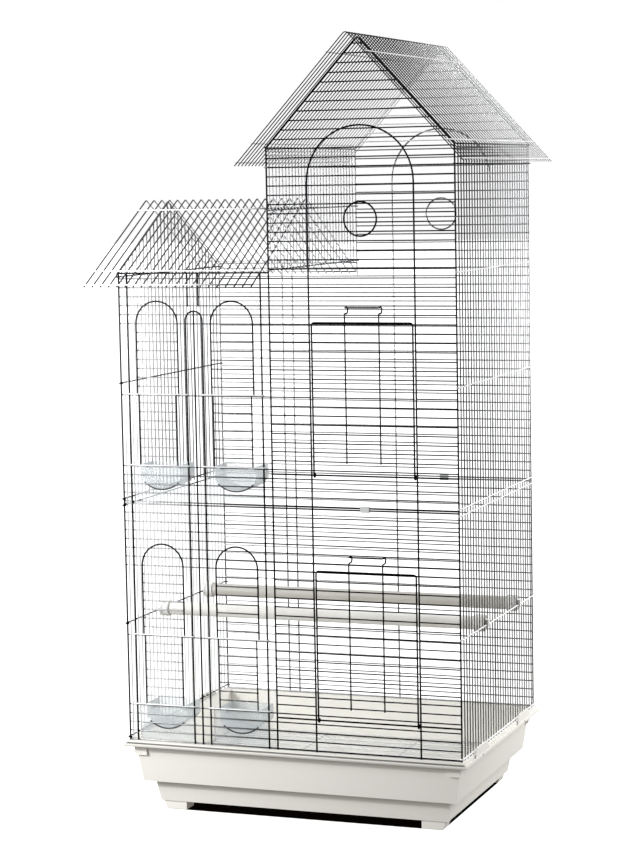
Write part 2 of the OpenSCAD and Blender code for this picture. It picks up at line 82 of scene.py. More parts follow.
class CageFinish(bpy.types.PropertyGroup):
    """Colours of the surfaces. The five wire colours are painted reflections, one for each
    shade of the studio that the wire would mirror, the brightest a painted glint.
    """

    # Painted reflections and glint of one plated wire, from the dark front to the white back.
    wire: swatch("Painted dark reflection", "Wire that mirrors the dark front", 0.012, 0.012, 0.014)
    grey: swatch("Painted grey reflection", "Wire that mirrors mostly dark", 0.14, 0.142, 0.147)
    pale: swatch("Painted pale reflection", "Wire that mirrors dark and white", 0.34, 0.345, 0.355)
    light: swatch("Painted light reflection", "Wire that mirrors mostly white", 0.75, 0.76, 0.77)
    bright: swatch("Painted glint", "Wire that mirrors a softbox", 0.95, 0.955, 0.96)
    tray: swatch("Tray", "Ivory plastic", 0.86, 0.85, 0.80)
    cup: swatch("Cup", "Clear plastic", 0.70, 0.75, 0.77)
    ivory: swatch("Front perch", "Ivory plastic, also of the caps", 0.80, 0.797, 0.775)
    tan: swatch("Rear perch", "Pale tan plastic", 0.55, 0.54, 0.51)
    clip: swatch("Clip", "Grey plastic", 0.55, 0.57, 0.57)
    edge: FloatProperty(name="Tray edge", description="Rounding of the tray's edges in mm",
                        default=1.6)


class CageStage(bpy.types.PropertyGroup):
    """Camera, lamps and world."""

    place: FloatVectorProperty(name="Camera", description="Camera place", subtype="XYZ",
                               unit="LENGTH", default=(1.20969, -3.27467, 0.90709))
    yaw: FloatProperty(name="Yaw", description="Turn to the left in degrees", default=20.42677)
    pitch: FloatProperty(name="Pitch", description="Tilt down in degrees", default=5.89538)
    roll: FloatProperty(name="Roll", description="Roll in degrees", default=-1.05076)
    focal: FloatProperty(name="Focal length", description="In pixels of the photograph",
                         default=2402.99)
    key: FloatProperty(name="Key light", description="Power of the key light", default=20.0)
    floor: FloatProperty(name="Floor light", description="Power of the floor's lamp", default=3.6)
    dim: FloatProperty(name="Dark side", description="World's brightness in front", default=0.25)
    glow: FloatProperty(name="Bright side", description="World's brightness behind", default=0.8)


SETTINGS = {"cage_wire": CageWireSizes, "cage_finish": CageFinish, "cage_stage": CageStage}


def setting(name):
    """One group of the settings above."""
    return getattr(bpy.context.scene, name)


# ---------------- layout, in millimetres
GAP = 0.3  # air between wires of different pieces
ROUND_OFF = 0.25  # rounding of a wire's two ends
WING_WALL = 325.2  # from the seam to the wing's top rail
EAVE_RISE = 2.0  # from the tower's last row to its eave
POST_TIP = 0.6  # how far the tower's posts stand over its eave
ARCH_HALF, RING_RADIUS = 77.0, 23.5  # of the tower's arch and ring
BAND_INSET = 3.0  # from the ends of a half to its outer depth wires
EAVE_DROP = 27.0  # from the tower's eave to the depth wire under it
ROOF_EDGE = 2.0  # from the tips of a roof's bows to its lowest long wire
ROOF_END = 1.2  # how far its long wires reach past the last bows

# Heights in spacings of the bars, from the lowest rail of a half
LOWER_ROWS, WING_ROWS, TOWER_ROWS = 27, 25, 39
HINGE_ROW, FOOT_ROW = 3.5, 4  # rod that the big door turns on, last row under the doors
SILL_ROW, HEAD_ROW = 12, 20  # where the windows' arches start and spring
BAND_ROW, WING_BAND_ROW = 13.3, 25.6  # inner depth wires
MIDDLE_ROW, ARCH_ROW, RING_ROW = 20.4, 35.3, 31.35  # spring of both arches, the ring's middle

# Places in spacings of the bars, from the left corner post, or from the front one
WING_COLUMNS = 18
FRONT_POSTS, BACK_POSTS = (0, 1, 8, 9, 10, 17, 18), (8.3, 9.6)
WINDOWS = ((1, 2, 7, 8), (10, 11, 16, 17))  # post, left and right of the window, post
SIDE_BARS = np.arange(1, 29)  # uprights of a side panel


class Layout:
    """Where the wires lie: w holds their sizes and p is the spacing of the bars. The front
    left corner post stands at x0, y0, and places count from it. Heights start at the floor."""

    def __init__(self):
        w = setting("cage_wire")
        self.w, self.p = w, w.pitch
        low, high = (np.array(c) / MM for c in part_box("lower_front_panel"))
        self.x0, self.y0 = low[0] + w.post / 2, low[1] + w.post / 2
        self.low_z = low[2] + w.rail / 2
        self.width = high[0] - low[0] - w.post
        self.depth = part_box("lower_back_panel")[1][1] / MM - w.post / 2 - self.y0
        self.up_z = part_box("upper_front_panel")[0][2] / MM + w.rail / 2
        self.low_top = self.low_z + LOWER_ROWS * self.p
        self.wing_w = WING_COLUMNS * self.p
        self.tower_w = self.width - self.wing_w
        self.tower_x = self.wing_w + self.tower_w / 2
        self.wing_z = self.up_z + WING_WALL
        self.eave_z = self.up_z + TOWER_ROWS * self.p + EAVE_RISE
        self.low_foot, self.up_foot = self.low_z - w.rail / 2, self.up_z - w.rail / 2
        self.post_low_top = self.up_foot - GAP
        self.side_out = w.post / 2 + GAP + w.depth / 2
        self.side_bar = self.side_out - w.depth / 2 - w.bar / 2 + w.weld
        self.arch = (self.tower_x - ARCH_HALF, self.tower_x + ARCH_HALF)
        self.tower_slope, self.wing_slope = math.radians(47.3), math.radians(28.4)
        self.ridge_r = 5.0
        self.rail_y, self.bar_y, self.hinge_y = (self.behind(d) for d in (w.rail, w.bar, w.post))

    def behind(self, d):
        """How far the middle of a wire welded behind the posts lies behind their middle."""
        return self.w.post / 2 + d / 2 - self.w.weld

    def world(self, points):
        """Places counted from the corner post, as places in the shared frame."""
        return np.asarray(points, float) + (self.x0, self.y0, 0.0)


def turn(centre, radius, start, end, plane, steps):
    """Arc: centre + radius (cos a, sin a) in the plane's two axes, with the angle a from
    start to end in degrees."""
    a = np.radians(np.linspace(start, end, steps + 1))
    points = np.tile(np.asarray(centre, float), (len(a), 1))
    points[:, plane[0]] += radius * np.cos(a)
    points[:, plane[1]] += radius * np.sin(a)
    return points


XY, XZ, YZ = (0, 1), (0, 2), (1, 2)  # the two axes of a plane
NORMAL = {XY: (0, 0, 1), XZ: (0, 1, 0), YZ: (1, 0, 0)}


def unit(v):
    """Vectors of length 1."""
    return v / np.maximum(np.linalg.norm(v, axis=-1, keepdims=True), 1e-9)


def tube(paths, normal, diameter, sides, closed):
    """Round wires along flat paths of shape (wires, stations, 3).

    Surface: c(v) + r(v) (cos u n + sin u n x t(v)), where c is the path, t its unit
    tangent, n the normal of the plane that it lies in, and r half the diameter, less
    ROUND_OFF at the two ends, which are closed by a fan. A closed path has no ends.
    """
    paths = np.asarray(paths, float)
    n = np.asarray(normal, float)
    if not closed:
        first = paths[:, :1] + ROUND_OFF * unit(paths[:, 1:2] - paths[:, :1])
        last = paths[:, -1:] + ROUND_OFF * unit(paths[:, -2:-1] - paths[:, -1:])
        paths = np.concatenate([paths[:, :1], first, paths[:, 1:-1], last, paths[:, -1:]], 1)
    steps = unit(np.diff(paths, axis=1))
    if closed:
        ends = unit(paths[:, :1] - paths[:, -1:])
        steps = np.concatenate([ends, steps, ends], 1)
    else:
        steps = np.concatenate([steps[:, :1], steps, steps[:, -1:]], 1)
    tangent = unit(steps[:, 1:] + steps[:, :-1])
    side = np.cross(n, tangent)
    k, m = paths.shape[:2]
    r = np.full(m, diameter / 2)
    if not closed:
        r[[0, -1]] -= ROUND_OFF
    u = np.linspace(0, 2 * np.pi, sides, endpoint=False)
    ring = (paths[:, :, None] + r[None, :, None, None]
            * (np.cos(u)[:, None] * n + np.sin(u)[:, None] * side[:, :, None]))
    index = np.arange(k * m * sides).reshape(k, m, sides)
    a, b = (index, np.roll(index, -1, 1)) if closed else (index[:, :-1], index[:, 1:])
    quads = np.stack([a, np.roll(a, -1, 2), np.roll(b, -1, 2), b], -1).reshape(-1, 4)
    verts = ring.reshape(-1, 3)
    if closed:
        return verts, [quads]
    tips = np.arange(2 * k) + len(verts)
    verts = np.concatenate([verts, paths[:, 0], paths[:, -1]])
    start = np.stack([np.roll(index[:, 0], -1, 1), index[:, 0],
                      np.repeat(tips[:k, None], sides, 1)], -1)
    end = np.stack([index[:, -1], np.roll(index[:, -1], -1, 1),
                    np.repeat(tips[k:, None], sides, 1)], -1)
    return verts, [quads, np.concatenate([start, end]).reshape(-1, 3)]


class Bundle:
    """Wires that end up in one mesh. Coordinates are in millimetres from the corner post.

    Each wire has the name of its look, or none for the piece's own look. The coat is added
    to the diameters of the CAD.
    """

    def __init__(self, layout):
        self.layout, self.parts, self.coat = layout, [], layout.w.coat

    def add(self, paths, normal, d, look, closed=False):
        """Wires of diameter d along flat paths."""
        verts, faces = tube(self.layout.world(paths), normal, d + self.coat,
                            self.layout.w.sides, closed)
        self.parts.append((verts, faces, look))

    def path(self, points, plane, d, at=((0, 0, 0),), look="", closed=False):
        """One flat path, copied to each offset in at."""
        copies = np.asarray(points, float)[None] + np.asarray(at, float)[:, None]
        self.add(copies, NORMAL[plane], d, look, closed)

    def straight(self, axis, low, high, others, d, look):
        """Straight wires along one axis; others gives the two remaining coordinates."""
        low, high, p, q = np.broadcast_arrays(
            *(np.atleast_1d(np.asarray(v, float)) for v in (low, high, *others)))
        ends = np.empty((len(low), 2, 3))
        rest = [i for i in range(3) if i != axis]
        ends[:, 0, axis], ends[:, 1, axis] = low, high
        ends[:, :, rest[0]], ends[:, :, rest[1]] = p[:, None], q[:, None]
        normal = (0, 0, 1) if axis != 2 else (1, 0, 0)
        self.add(ends, normal, d, look)

    def x(self, x0, x1, y, z, d, look=""):
        """Straight wires along x, and so on for y and z."""
        self.straight(0, x0, x1, (y, z), d, look)

    def y(self, x, y0, y1, z, d, look=""):
        self.straight(1, y0, y1, (x, z), d, look)

    def z(self, x, y, z0, z1, d, look=""):
        self.straight(2, z0, z1, (x, y), d, look)

    def looks(self):
        """Names of the looks in use, in the order of the material numbers."""
        return sorted({look for _, _, look in self.parts})

    def mesh(self, name):
        """One object of all the wires, in metres."""
        verts, faces, index, base, looks = [], [], [], 0, self.looks()
        for v, fs, look in self.parts:
            verts.append(v)
            faces += [f + base for f in fs]
            index += [np.full(len(f), looks.index(look)) for f in fs]
            base += len(v)
        return mesh_object(name, np.concatenate(verts) * MM, faces, np.concatenate(index))


def mesh_object(name, verts, faces, index=None):
    """An object from an array of places and a list of face arrays, smooth but for sharp
    edges. The index holds the faces' material numbers."""
    mesh = bpy.data.meshes.new(name)
    loops = np.concatenate([f.ravel() for f in faces])
    sizes = np.concatenate([np.full(len(f), f.shape[1]) for f in faces])
    mesh.vertices.add(len(verts))
    mesh.vertices.foreach_set("co", np.ascontiguousarray(verts, np.float32).ravel())
    mesh.loops.add(len(loops))
    mesh.loops.foreach_set("vertex_index", loops.astype(np.int32))
    mesh.polygons.add(len(sizes))
    mesh.polygons.foreach_set("loop_start", (np.cumsum(sizes) - sizes).astype(np.int32))
    if index is not None:
        mesh.polygons.foreach_set("material_index", index.astype(np.int32))
    mesh.update(calc_edges=True)
    mesh.shade_smooth()
    mesh.set_sharp_from_angle(angle=math.radians(40))
    thing = bpy.data.objects.new(name, mesh)
    bpy.context.collection.objects.link(thing)
    return thing


def mirrored(b, axis, middle):
    """Turns a bundle over the plane at middle on x or y, keeping the faces' outward side."""
    sign, twice = np.ones(3), np.zeros(3)
    sign[axis] = -1
    twice[axis] = 2 * (middle + (b.layout.x0, b.layout.y0)[axis])
    b.parts = [(v * sign + twice, [f[:, ::-1] for f in fs], look) for v, fs, look in b.parts]
    return b


def shifted(b, x):
    """Moves a bundle along x."""
    b.parts = [(v + (x, 0, 0), fs, look) for v, fs, look in b.parts]
    return b


def finish_piece(thing, body, looks, slot, *nodes):
    """Gives a new piece its looks, its body and the nodes that it stands for. The slot is not
    used.
    """
    if thing.data.materials:  # clearing an empty list resets the faces' material numbers
        thing.data.materials.clear()
    for look in looks:
        thing.data.materials.append(paint_of(look))
    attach(thing, body)
    if nodes:
        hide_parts(*nodes)
    return thing


# ---------------- wire shapes
# The looks that the wires below are given are painted reflections, chosen by where a wire lies.
def bow(half, slope, r, plane):
    """Wire over a ridge at 0: two legs at the slope, rounded by an arc of radius r."""
    tilt = math.degrees(slope)
    arc = turn((0, 0, -r / math.cos(slope)), r, 90 + tilt, 90 - tilt, plane, 10)
    ends = np.zeros((2, 3))
    ends[:, plane[0]], ends[:, 2] = (-half, half), -half * math.tan(slope)
    return np.concatenate([ends[:1], arc, ends[1:]])


def arch_path(x0, x1, z0, spring):
    """Upright, half circle, upright."""
    top = turn(((x0 + x1) / 2, 0, spring), (x1 - x0) / 2, 180, 0, XZ, 24)
    return np.concatenate([[(x0, 0, z0)], top, [(x1, 0, z0)]])


def front_bars(b, z, rows, wing_rows):
    """The bars of a front panel, left out at the door and the feeder doors, and the hinge rod."""
    s, p = b.layout, b.layout.p
    k = np.arange(1, rows + 1)
    door = (k > FOOT_ROW) & (k < HEAD_ROW)
    wing = (k <= FOOT_ROW) | (k == SILL_ROW) | ((k >= HEAD_ROW) & (k <= wing_rows))
    left = np.where(wing, 0, s.wing_w)
    b.x(left, np.where(door, s.arch[0], s.width), s.bar_y, z + k * p, s.w.bar, "wire_rows")
    b.x(s.arch[1], s.width, s.bar_y, z + k[door] * p, s.w.bar, "wire_rows")
    b.x(s.wing_w, s.width, s.hinge_y, z + HINGE_ROW * p, s.w.post)
    k = np.arange(SILL_ROW + 1, HEAD_ROW)
    for _, x0, x1, _ in np.array(WINDOWS) * p:
        b.path(arch_path(x0, x1, z + SILL_ROW * p, z + HEAD_ROW * p), XZ, s.w.post)
        b.x(x0, x1, s.bar_y, z + k * p, s.w.bar, "wire_rows")


def tower_front(b, look="", gable=""):
    """Tower arch and ring in one look, the gable's wire and bars in another."""
    s, p = b.layout, b.layout.p
    b.path(arch_path(*s.arch, s.up_foot, s.up_z + ARCH_ROW * p), XZ, s.w.post, look=look)
    ring = turn((s.tower_x, 0, s.up_z + RING_ROW * p), RING_RADIUS, 0, 360, XZ, 48)[:-1]
    b.path(ring, XZ, s.w.post, look=look, closed=True)
    apex = s.eave_z + s.tower_w / 2 * math.tan(s.tower_slope)
    b.path(bow(s.tower_w / 2, s.tower_slope, s.ridge_r, XZ), XZ, s.w.post,
           at=[(s.tower_x, 0, apex)], look=gable)
    under_apex = 9
    k = np.arange(TOWER_ROWS + 1, int((apex - under_apex - s.up_z) / p) + 1)
    reach = (apex - s.up_z - k * p) / math.tan(s.tower_slope)
    b.x(s.tower_x - reach, s.tower_x + reach, s.bar_y, s.up_z + k * p, s.w.bar, gable)


def lower_front(s):
    """Rails, bars with gaps at the doors, and posts."""
    b, p = Bundle(s), s.p
    b.x(0, s.width, s.rail_y, [s.low_z, s.low_top], s.w.rail, "wire_rows")
    front_bars(b, s.low_z, LOWER_ROWS - 1, LOWER_ROWS - 1)
    posts = [i * p for i in FRONT_POSTS] + [*s.arch, s.width]
    b.z(posts, 0, s.low_foot, s.post_low_top, s.w.post)
    return b


def lower_back(s):
    """Rails, bars and posts."""
    b, p = Bundle(s), s.p
    b.x(0, s.width, s.rail_y, [s.low_z, s.low_top], s.w.rail, "wire_pale")
    b.x(0, s.width, s.bar_y, s.low_z + np.arange(1, LOWER_ROWS) * p, s.w.bar)
    b.z(0, 0, s.low_foot, s.post_low_top, s.w.post, "wire_chrome")
    posts = [i * p for i in BACK_POSTS] + [*s.arch, s.width]
    b.z(posts, 0, s.low_foot, s.post_low_top, s.w.post, "wire_pale")
    return mirrored(b, 1, s.depth / 2)


def upper_front(s):
    """The lower front's wires, with the narrow middle arch, the tower arch and the gable."""
    b, p, z, foot = Bundle(s), s.p, s.up_z, s.up_foot
    b.x(0, s.width, s.rail_y, z, s.w.rail, "wire_rows")
    b.x(0, s.wing_w, s.rail_y, s.wing_z, s.w.rail)
    front_bars(b, z, TOWER_ROWS, WING_ROWS)
    tower_front(b)
    b.z([i * p for i in (0, 1, 17)], 0, foot, s.wing_z, s.w.post)
    b.z([s.wing_w, s.width], 0, foot, s.eave_z + POST_TIP, s.w.post)
    b.path(arch_path(8 * p, 10 * p, foot, z + MIDDLE_ROW * p), XZ, s.w.post)
    b.z(9 * p, 0, foot, z + (MIDDLE_ROW + 1) * p, s.w.post)
    over_arch = z + 22 * p - 1
    b.z([i * p for i in BACK_POSTS], 0, over_arch, s.wing_z, s.w.post)
    return b


def upper_back(s):
    """The lower back's wires, with the tower arch, the ring and the gable."""
    b, p, z = Bundle(s), s.p, s.up_z
    foot, tower_foot = s.up_foot, s.wing_z - 1.5 * p
    b.x(0, [s.width, s.wing_w], s.rail_y, [z, s.wing_z], s.w.rail)
    k = np.arange(1, TOWER_ROWS + 1)
    b.x(np.where(k <= WING_ROWS, 0, s.wing_w), s.width, s.bar_y, z + k * p, s.w.bar)
    tower_front(b, "wire_pale", "wire_light")
    b.z(0, 0, foot, s.wing_z, s.w.post, "wire_chrome")
    b.z([i * p for i in BACK_POSTS], 0, foot, s.wing_z, s.w.post, "wire_pale")
    b.z([s.wing_w, s.width], 0, [tower_foot, foot], s.eave_z + POST_TIP, s.w.post, "wire_pale")
    return mirrored(b, 1, s.depth / 2)


def side_bars(b, z0, z1):
    """Uprights of a side panel."""
    s = b.layout
    b.z(s.side_bar, SIDE_BARS * s.p, z0, z1, s.w.bar)


def hooked(b, heights, look=""):
    """Depth wires that hook round both corner posts."""
    s = b.layout
    path = np.concatenate([turn((0, 0, 0), s.side_out, 180, 360, XY, 16),
                           turn((0, s.depth, 0), s.side_out, 0, 180, XY, 16)])
    b.path(path, XY, s.w.depth, at=[(0, 0, z) for z in heights], look=look)


def lower_side(s, look):
    """Uprights and three depth wires, for either side."""
    b = Bundle(s)
    side_bars(b, s.low_foot, s.post_low_top)
    hooked(b, (s.low_z + BAND_INSET, s.low_z + BAND_ROW * s.p, s.low_top - BAND_INSET), look)
    return b


def lower_left(s):
    """The lower side at the left post."""
    return mirrored(lower_side(s, "wire_chrome"), 0, 0)


def lower_right(s):
    """The lower side at the right post."""
    return shifted(lower_side(s, "wire_bright"), s.width)


def upper_right(s):
    """Uprights up to the tower's eave wire, and four depth wires."""
    b = Bundle(s)
    side_bars(b, s.up_foot, s.eave_z)
    hooked(b, (s.up_z + BAND_INSET, s.up_z + BAND_ROW * s.p, s.up_z + WING_BAND_ROW * s.p),
           "wire_bright")
    hooked(b, [s.eave_z - EAVE_DROP])
    b.y(s.side_out, -1, s.depth + 1, s.eave_z, s.w.depth)
    return shifted(b, s.width)


def wing_ridge(s):
    """Height at which the two slopes of the wing roof's wires would meet."""
    rise = (s.w.rail / 2 + s.w.roof / 2 + GAP) / math.cos(s.wing_slope)
    return s.wing_z + rise + (s.depth / 2 - s.rail_y) * math.tan(s.wing_slope)


def wing_left(s):
    """Uprights that end at a low gable wire, and three depth wires."""
    b, thicker, under_ridge = Bundle(s), 0.4, 1.5
    gable = wing_ridge(s) - (s.w.depth / 2 + s.w.roof / 2 + GAP) / math.cos(s.wing_slope)
    y = SIDE_BARS * s.p
    top = gable - np.maximum(abs(s.depth / 2 - y), under_ridge) * math.tan(s.wing_slope)
    b.z(s.side_bar, y, s.up_foot, top, s.w.bar)
    hooked(b, (s.up_z + BAND_INSET, s.up_z + BAND_ROW * s.p, s.wing_z - 5), "wire_chrome")
    b.path(bow(s.depth / 2, s.wing_slope, s.ridge_r, YZ), YZ, s.w.depth + thicker,
           at=[(s.side_out, s.depth / 2, gable)], look="wire_slopes")
    return mirrored(b, 0, 0)


def tower_left(s):
    """The tower's wall over the wing: uprights, the eave wire and three depth wires."""
    b = Bundle(s)
    side_bars(b, s.wing_z + 1.5, s.eave_z)
    hooked(b, (s.wing_z + 3.3, s.wing_z + 86, s.eave_z - EAVE_DROP))
    b.y(s.side_out, -1, s.depth + 1, s.eave_z, s.w.depth)
    return shifted(mirrored(b, 0, 0), s.wing_w)


def tower_roof(s):
    """Bows over the ridge, a spacing apart, under three long wires on each slope. They are
    thinner than in the CAD, as the slopes are so dense."""
    b, a, d, bows = Bundle(s), s.tower_slope, s.w.roof, 36
    b.coat = -0.25
    rise = (s.w.depth / 2 + d / 2 + GAP) / math.cos(a)
    ridge = s.eave_z + rise + (s.tower_w / 2 + s.side_out) * math.tan(a)
    tip = s.tower_w / 2 + 28
    y = -3.7 * s.p + np.arange(bows) * s.p
    b.path(bow(tip, a, s.ridge_r, XZ), XZ, d, at=[(s.tower_x, v, ridge) for v in y])
    out = np.array([28, s.tower_w / 2 + 2.5, tip - ROOF_EDGE])
    z = ridge + (d - s.w.weld) / math.cos(a) - out * math.tan(a)
    b.y(np.concatenate([s.tower_x - out, s.tower_x + out]), y[0] - ROOF_END, y[-1] + ROOF_END,
        np.concatenate([z, z]), d, "wire_bright")
    return b


def wing_roof(s):
    """Bows over the ridge, a spacing apart, under three long wires on each slope, of which
    the highest reaches to the tower's wall."""
    b, a, d, bows = Bundle(s), s.wing_slope, s.w.roof, 21
    b.coat *= 1.2
    ridge, tip = wing_ridge(s), s.depth / 2 + 35.5
    right = s.wing_w - 12
    left = right - (bows - 1) * s.p
    x = left + np.arange(bows) * s.p
    b.path(bow(tip, a, s.ridge_r, YZ), YZ, d, at=[(v, s.depth / 2, ridge) for v in x])
    left, right = left - ROOF_END, right + ROOF_END
    wall = s.wing_w - s.side_out - s.w.depth / 2 - GAP
    out = np.array([30, s.depth / 2, tip - ROOF_EDGE])
    z = ridge + (d - s.w.weld) / math.cos(a) - out * math.tan(a)
    for side in (-1, 1):
        y = s.depth / 2 + side * out
        b.x(left, [wall, right], y[::2], z[::2], d, "wire_rods")
        b.x(left, right, y[1], z[1], d, "wire_bright")
    return b


def floor_grate(s):
    """Four strong wires along the depth, with bars across them."""
    b, w = Bundle(s), s.w
    low, high = (np.array(c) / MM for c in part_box("floor_grate"))
    cx, cy = s.width / 2, s.depth / 2
    gx, gy = (high[0] - low[0]) / 2, (high[1] - low[1]) / 2
    z = low[2] + w.post / 2
    top = z + w.post / 2 + w.bar / 2 - w.weld
    side, end, inner = 2, 1, 3  # from the grate's edge to its outer wires and its inner bars
    n = int((gy - inner) / s.p)
    b.y(cx + np.arange(-3, 4, 2) * (gx - side) / 3, cy - gy, cy + gy, z, w.post)
    b.x(cx - gx, cx + gx, cy + np.arange(-n, n + 1) * s.p, top, w.bar)
    b.x(cx - gx, cx + gx, [cy - gy + end, cy + gy - end], top, w.bar)
    return b


def bracket(x0, x1, y, z, r, plane, foot):
    """From x0 to x1: a leg, an arc of radius r, a bar, an arc and a leg. The arcs' centres lie
    at y and z. The legs end at foot, the same y and z on both sides."""
    across = 270 if plane == XY else 90
    return np.concatenate([[(x0, *foot)], turn((x0 + r, y, z), r, 180, across, plane, 8),
                           turn((x1 - r, y, z), r, across, 2 * across - 180, plane, 8),
                           [(x1, *foot)]])


def big_door(s, z):
    """Bent frame with an eye at each foot, bars behind it, and the latch: two wires that go
    over the bar above the door and end in a thumb piece in front."""
    b, p, w = Bundle(s), s.p, s.w
    half, corner, eye, past = 73.4, 4, w.post + GAP, 0.9
    y, top, hinge = s.hinge_y - eye, z + HEAD_ROW * p + 2.2, z + HINGE_ROW * p
    leg, lap = hinge + 20, 0.6
    x0, x1 = s.tower_x - half, s.tower_x + half
    for x in (x0, x1):
        eye_turn = turn((x, s.hinge_y, hinge), eye, 480, 180, YZ, 30)
        b.path(np.concatenate([eye_turn, [(x, y, leg)]]), YZ, w.post)
    b.path(bracket(x0, x1, y, top - corner, corner, XZ, (y, leg - lap)), XZ, w.post)
    k = np.arange(FOOT_ROW + 1, HEAD_ROW)
    b.x(x0 - past, x1 + past, y + s.behind(w.bar), z + k * p, w.bar)
    half, thicker, bend, loop, loop_y, thumb_r = 24.8, 0.3, 2.5, 4.1, 9, 3
    d, front = w.bar + thicker, y + w.post / 2 - w.bar / 2
    foot, hook = z + (FOOT_ROW + 1) * p - 2, z + (HEAD_ROW + 1) * p + d + GAP
    over = hook + 2 * loop
    x0, x1 = s.tower_x - half, s.tower_x + half
    for x in (x0, x1):
        latch = np.concatenate([[(x, front, foot)],
                                turn((x, front + bend, hook - bend), bend, 180, 90, YZ, 8),
                                turn((x, loop_y, hook + loop), loop, -90, 90, YZ, 16),
                                [(x, front + thumb_r, over)]])
        b.path(latch, YZ, d)
    y, lap = front + thumb_r, 0.4
    b.path(bracket(x0, x1, y, over, thumb_r, XY, (y + lap, over)), XY, d)
    return b


def feeder_door(s, z, window):
    """Small grille whose two end bars curl round the posts."""
    b, p, d, half, past, rows = Bundle(s), s.p, 1.8, 29, 0.7, 8
    x0, x1, mid = window[0] * p, window[3] * p, (window[0] + window[3]) / 2 * p
    r = s.w.post / 2 + GAP + d / 2 + 0.05
    foot = z + FOOT_ROW * p + s.w.bar / 2 + d / 2 + GAP
    curl = np.concatenate([turn((x0, 0, foot), r, 90, 270, XY, 16),
                           turn((x1, 0, foot), r, 270, 450, XY, 16)])
    b.path(curl, XY, d, at=[(0, 0, 0), (0, 0, rows * p)], look="wire_light")
    b.z([mid - half, mid + half], -r, foot, foot + rows * p, d)
    b.x(mid - half - past, mid + half + past, -r + d / 2 + s.w.bar / 2 - s.w.weld,
        foot + np.arange(1, rows) * p, s.w.bar, "wire_rows")
    return b


def cup_edge(s, z, window):
    """Thick lower edge of a cup's trough, near black as painted shade of the clear plastic: an
    arc about a point 4 mm over the trough's rim.
    """
    b = Bundle(s)
    middle, front, rim, radius, d = (window[0] + window[3]) / 2 * s.p, 3.4, z + 53.4, 39.6, 1.8
    b.path(turn((middle, front, rim + 4), radius, 228, 312, XZ, 24), XZ, d)
    return b


# ---------------- materials
def sum_node(operation, swapped=False):
    """A method for Value that makes the Math node of one operation."""
    def method(self, other):
        a, b = (other, self) if swapped else (self, other)
        return self.paint.node("ShaderNodeMath", {"operation": operation}, {0: a, 1: b})[0]
    return method


class Value:
    """A node socket that can be used in sums, differences, products and powers."""

    def __init__(self, paint, socket):
        self.paint, self.socket = paint, socket

    __add__, __radd__ = sum_node("ADD"), sum_node("ADD", swapped=True)
    __sub__, __rsub__ = sum_node("SUBTRACT"), sum_node("SUBTRACT", swapped=True)
    __mul__, __rmul__ = sum_node("MULTIPLY"), sum_node("MULTIPLY", swapped=True)
    __pow__ = sum_node("POWER")


class Outputs:
    """The sockets that a node gives, by name or number."""

    def __init__(self, paint, made):
        self.paint, self.made = paint, made

    def __getitem__(self, key):
        return Value(self.paint, self.made.outputs[key])


class Kit:
    """A node tree and the one way in which its nodes are made."""

    def __init__(self, tree):
        self.tree = tree

    def put(self, socket, value):
        """Links a Value to a socket, or sets the socket's constant."""
        if isinstance(value, Value):
            self.tree.links.new(value.socket, socket)
        else:
            socket.default_value = value

    def node(self, kind, settings=None, inputs=None):
        """A node of a type, with its settings made first, then its sockets."""
        made = self.tree.nodes.new(kind)
        for key, value in (settings or {}).items():
            if key == "stops":
                ramp = made.color_ramp
                while len(ramp.elements) < len(value):
                    ramp.elements.new(0.5)
                for stop, (at, colour) in zip(ramp.elements, value):
                    stop.position, stop.color = at, (*colour, 1)
            else:
                setattr(made, key, value)
        for key, value in (inputs or {}).items():
            self.put(made.inputs[key], value)
        return Outputs(self, made)

    def mix(self, factor, a, b):
        """Blend of two colours."""
        made = self.node("ShaderNodeMix", {"data_type": "RGBA"},
                         {0: factor, 6: a if isinstance(a, Value) else (*a, 1),
                          7: b if isinstance(b, Value) else (*b, 1)})
        return made[2]

    def part(self, value, start, end, how="LINEAR"):
        """0 to 1 as the value goes from start to end."""
        return self.node("ShaderNodeMapRange", {"interpolation_type": how},
                         {"Value": value, "From Min": start, "From Max": end})[0]


class Paint(Kit):
    """One material and its nodes."""

    def __init__(self, name):
        self.material = bpy.data.materials.new(name)
        self.material.use_nodes = True
        super().__init__(self.material.node_tree)
        self.shader = self.tree.nodes["Principled BSDF"]
        self.place = self.node("ShaderNodeTexCoord")["Object"]

    def noise(self, scale, detail=3.0, rough=0.5, stretch=None):
        """Noise with features of about 1/scale metres, longer where stretch is below 1."""
        place = self.place
        if stretch:
            place = self.node("ShaderNodeMapping", None, {"Vector": place, "Scale": stretch})[0]
        return self.node("ShaderNodeTexNoise", None, {"Vector": place, "Scale": scale,
                                                      "Detail": detail, "Roughness": rough})["Fac"]

    def ramp(self, factor, *stops):
        """Colours at stops from 0 to 1."""
        return self.node("ShaderNodeValToRGB", {"stops": stops}, {"Fac": factor})["Color"]

    def scaled(self, colour, by):
        """A colour times a value."""
        return self.node("ShaderNodeVectorMath", {"operation": "SCALE"},
                         {0: colour, "Scale": by})[0]

    def spread(self, value, low, high):
        """Turns 0 to 1 into low to high."""
        return value * (high - low) + low

    def bump(self, height, strength, distance):
        """Normals of a relief that is distance metres high."""
        return self.node("ShaderNodeBump", None, {"Height": height, "Strength": strength,
                                                  "Distance": distance})["Normal"]

    def set(self, **values):
        """Gives the shader its values and returns the finished material."""
        for key, value in values.items():
            self.put(self.shader.inputs[key.replace("_", " ")], value)
        return self.material


def tinted(colour, by):
    """A colour times a number, or times one number for each channel."""
    return tuple(float(c) for c in np.clip(np.array(colour) * by, 0, 1))


RIGHT, BACK, BACK_DOWN = (1, 0, 0), (0, 1, 0), (0, 1, -1)  # ways that a tint can run


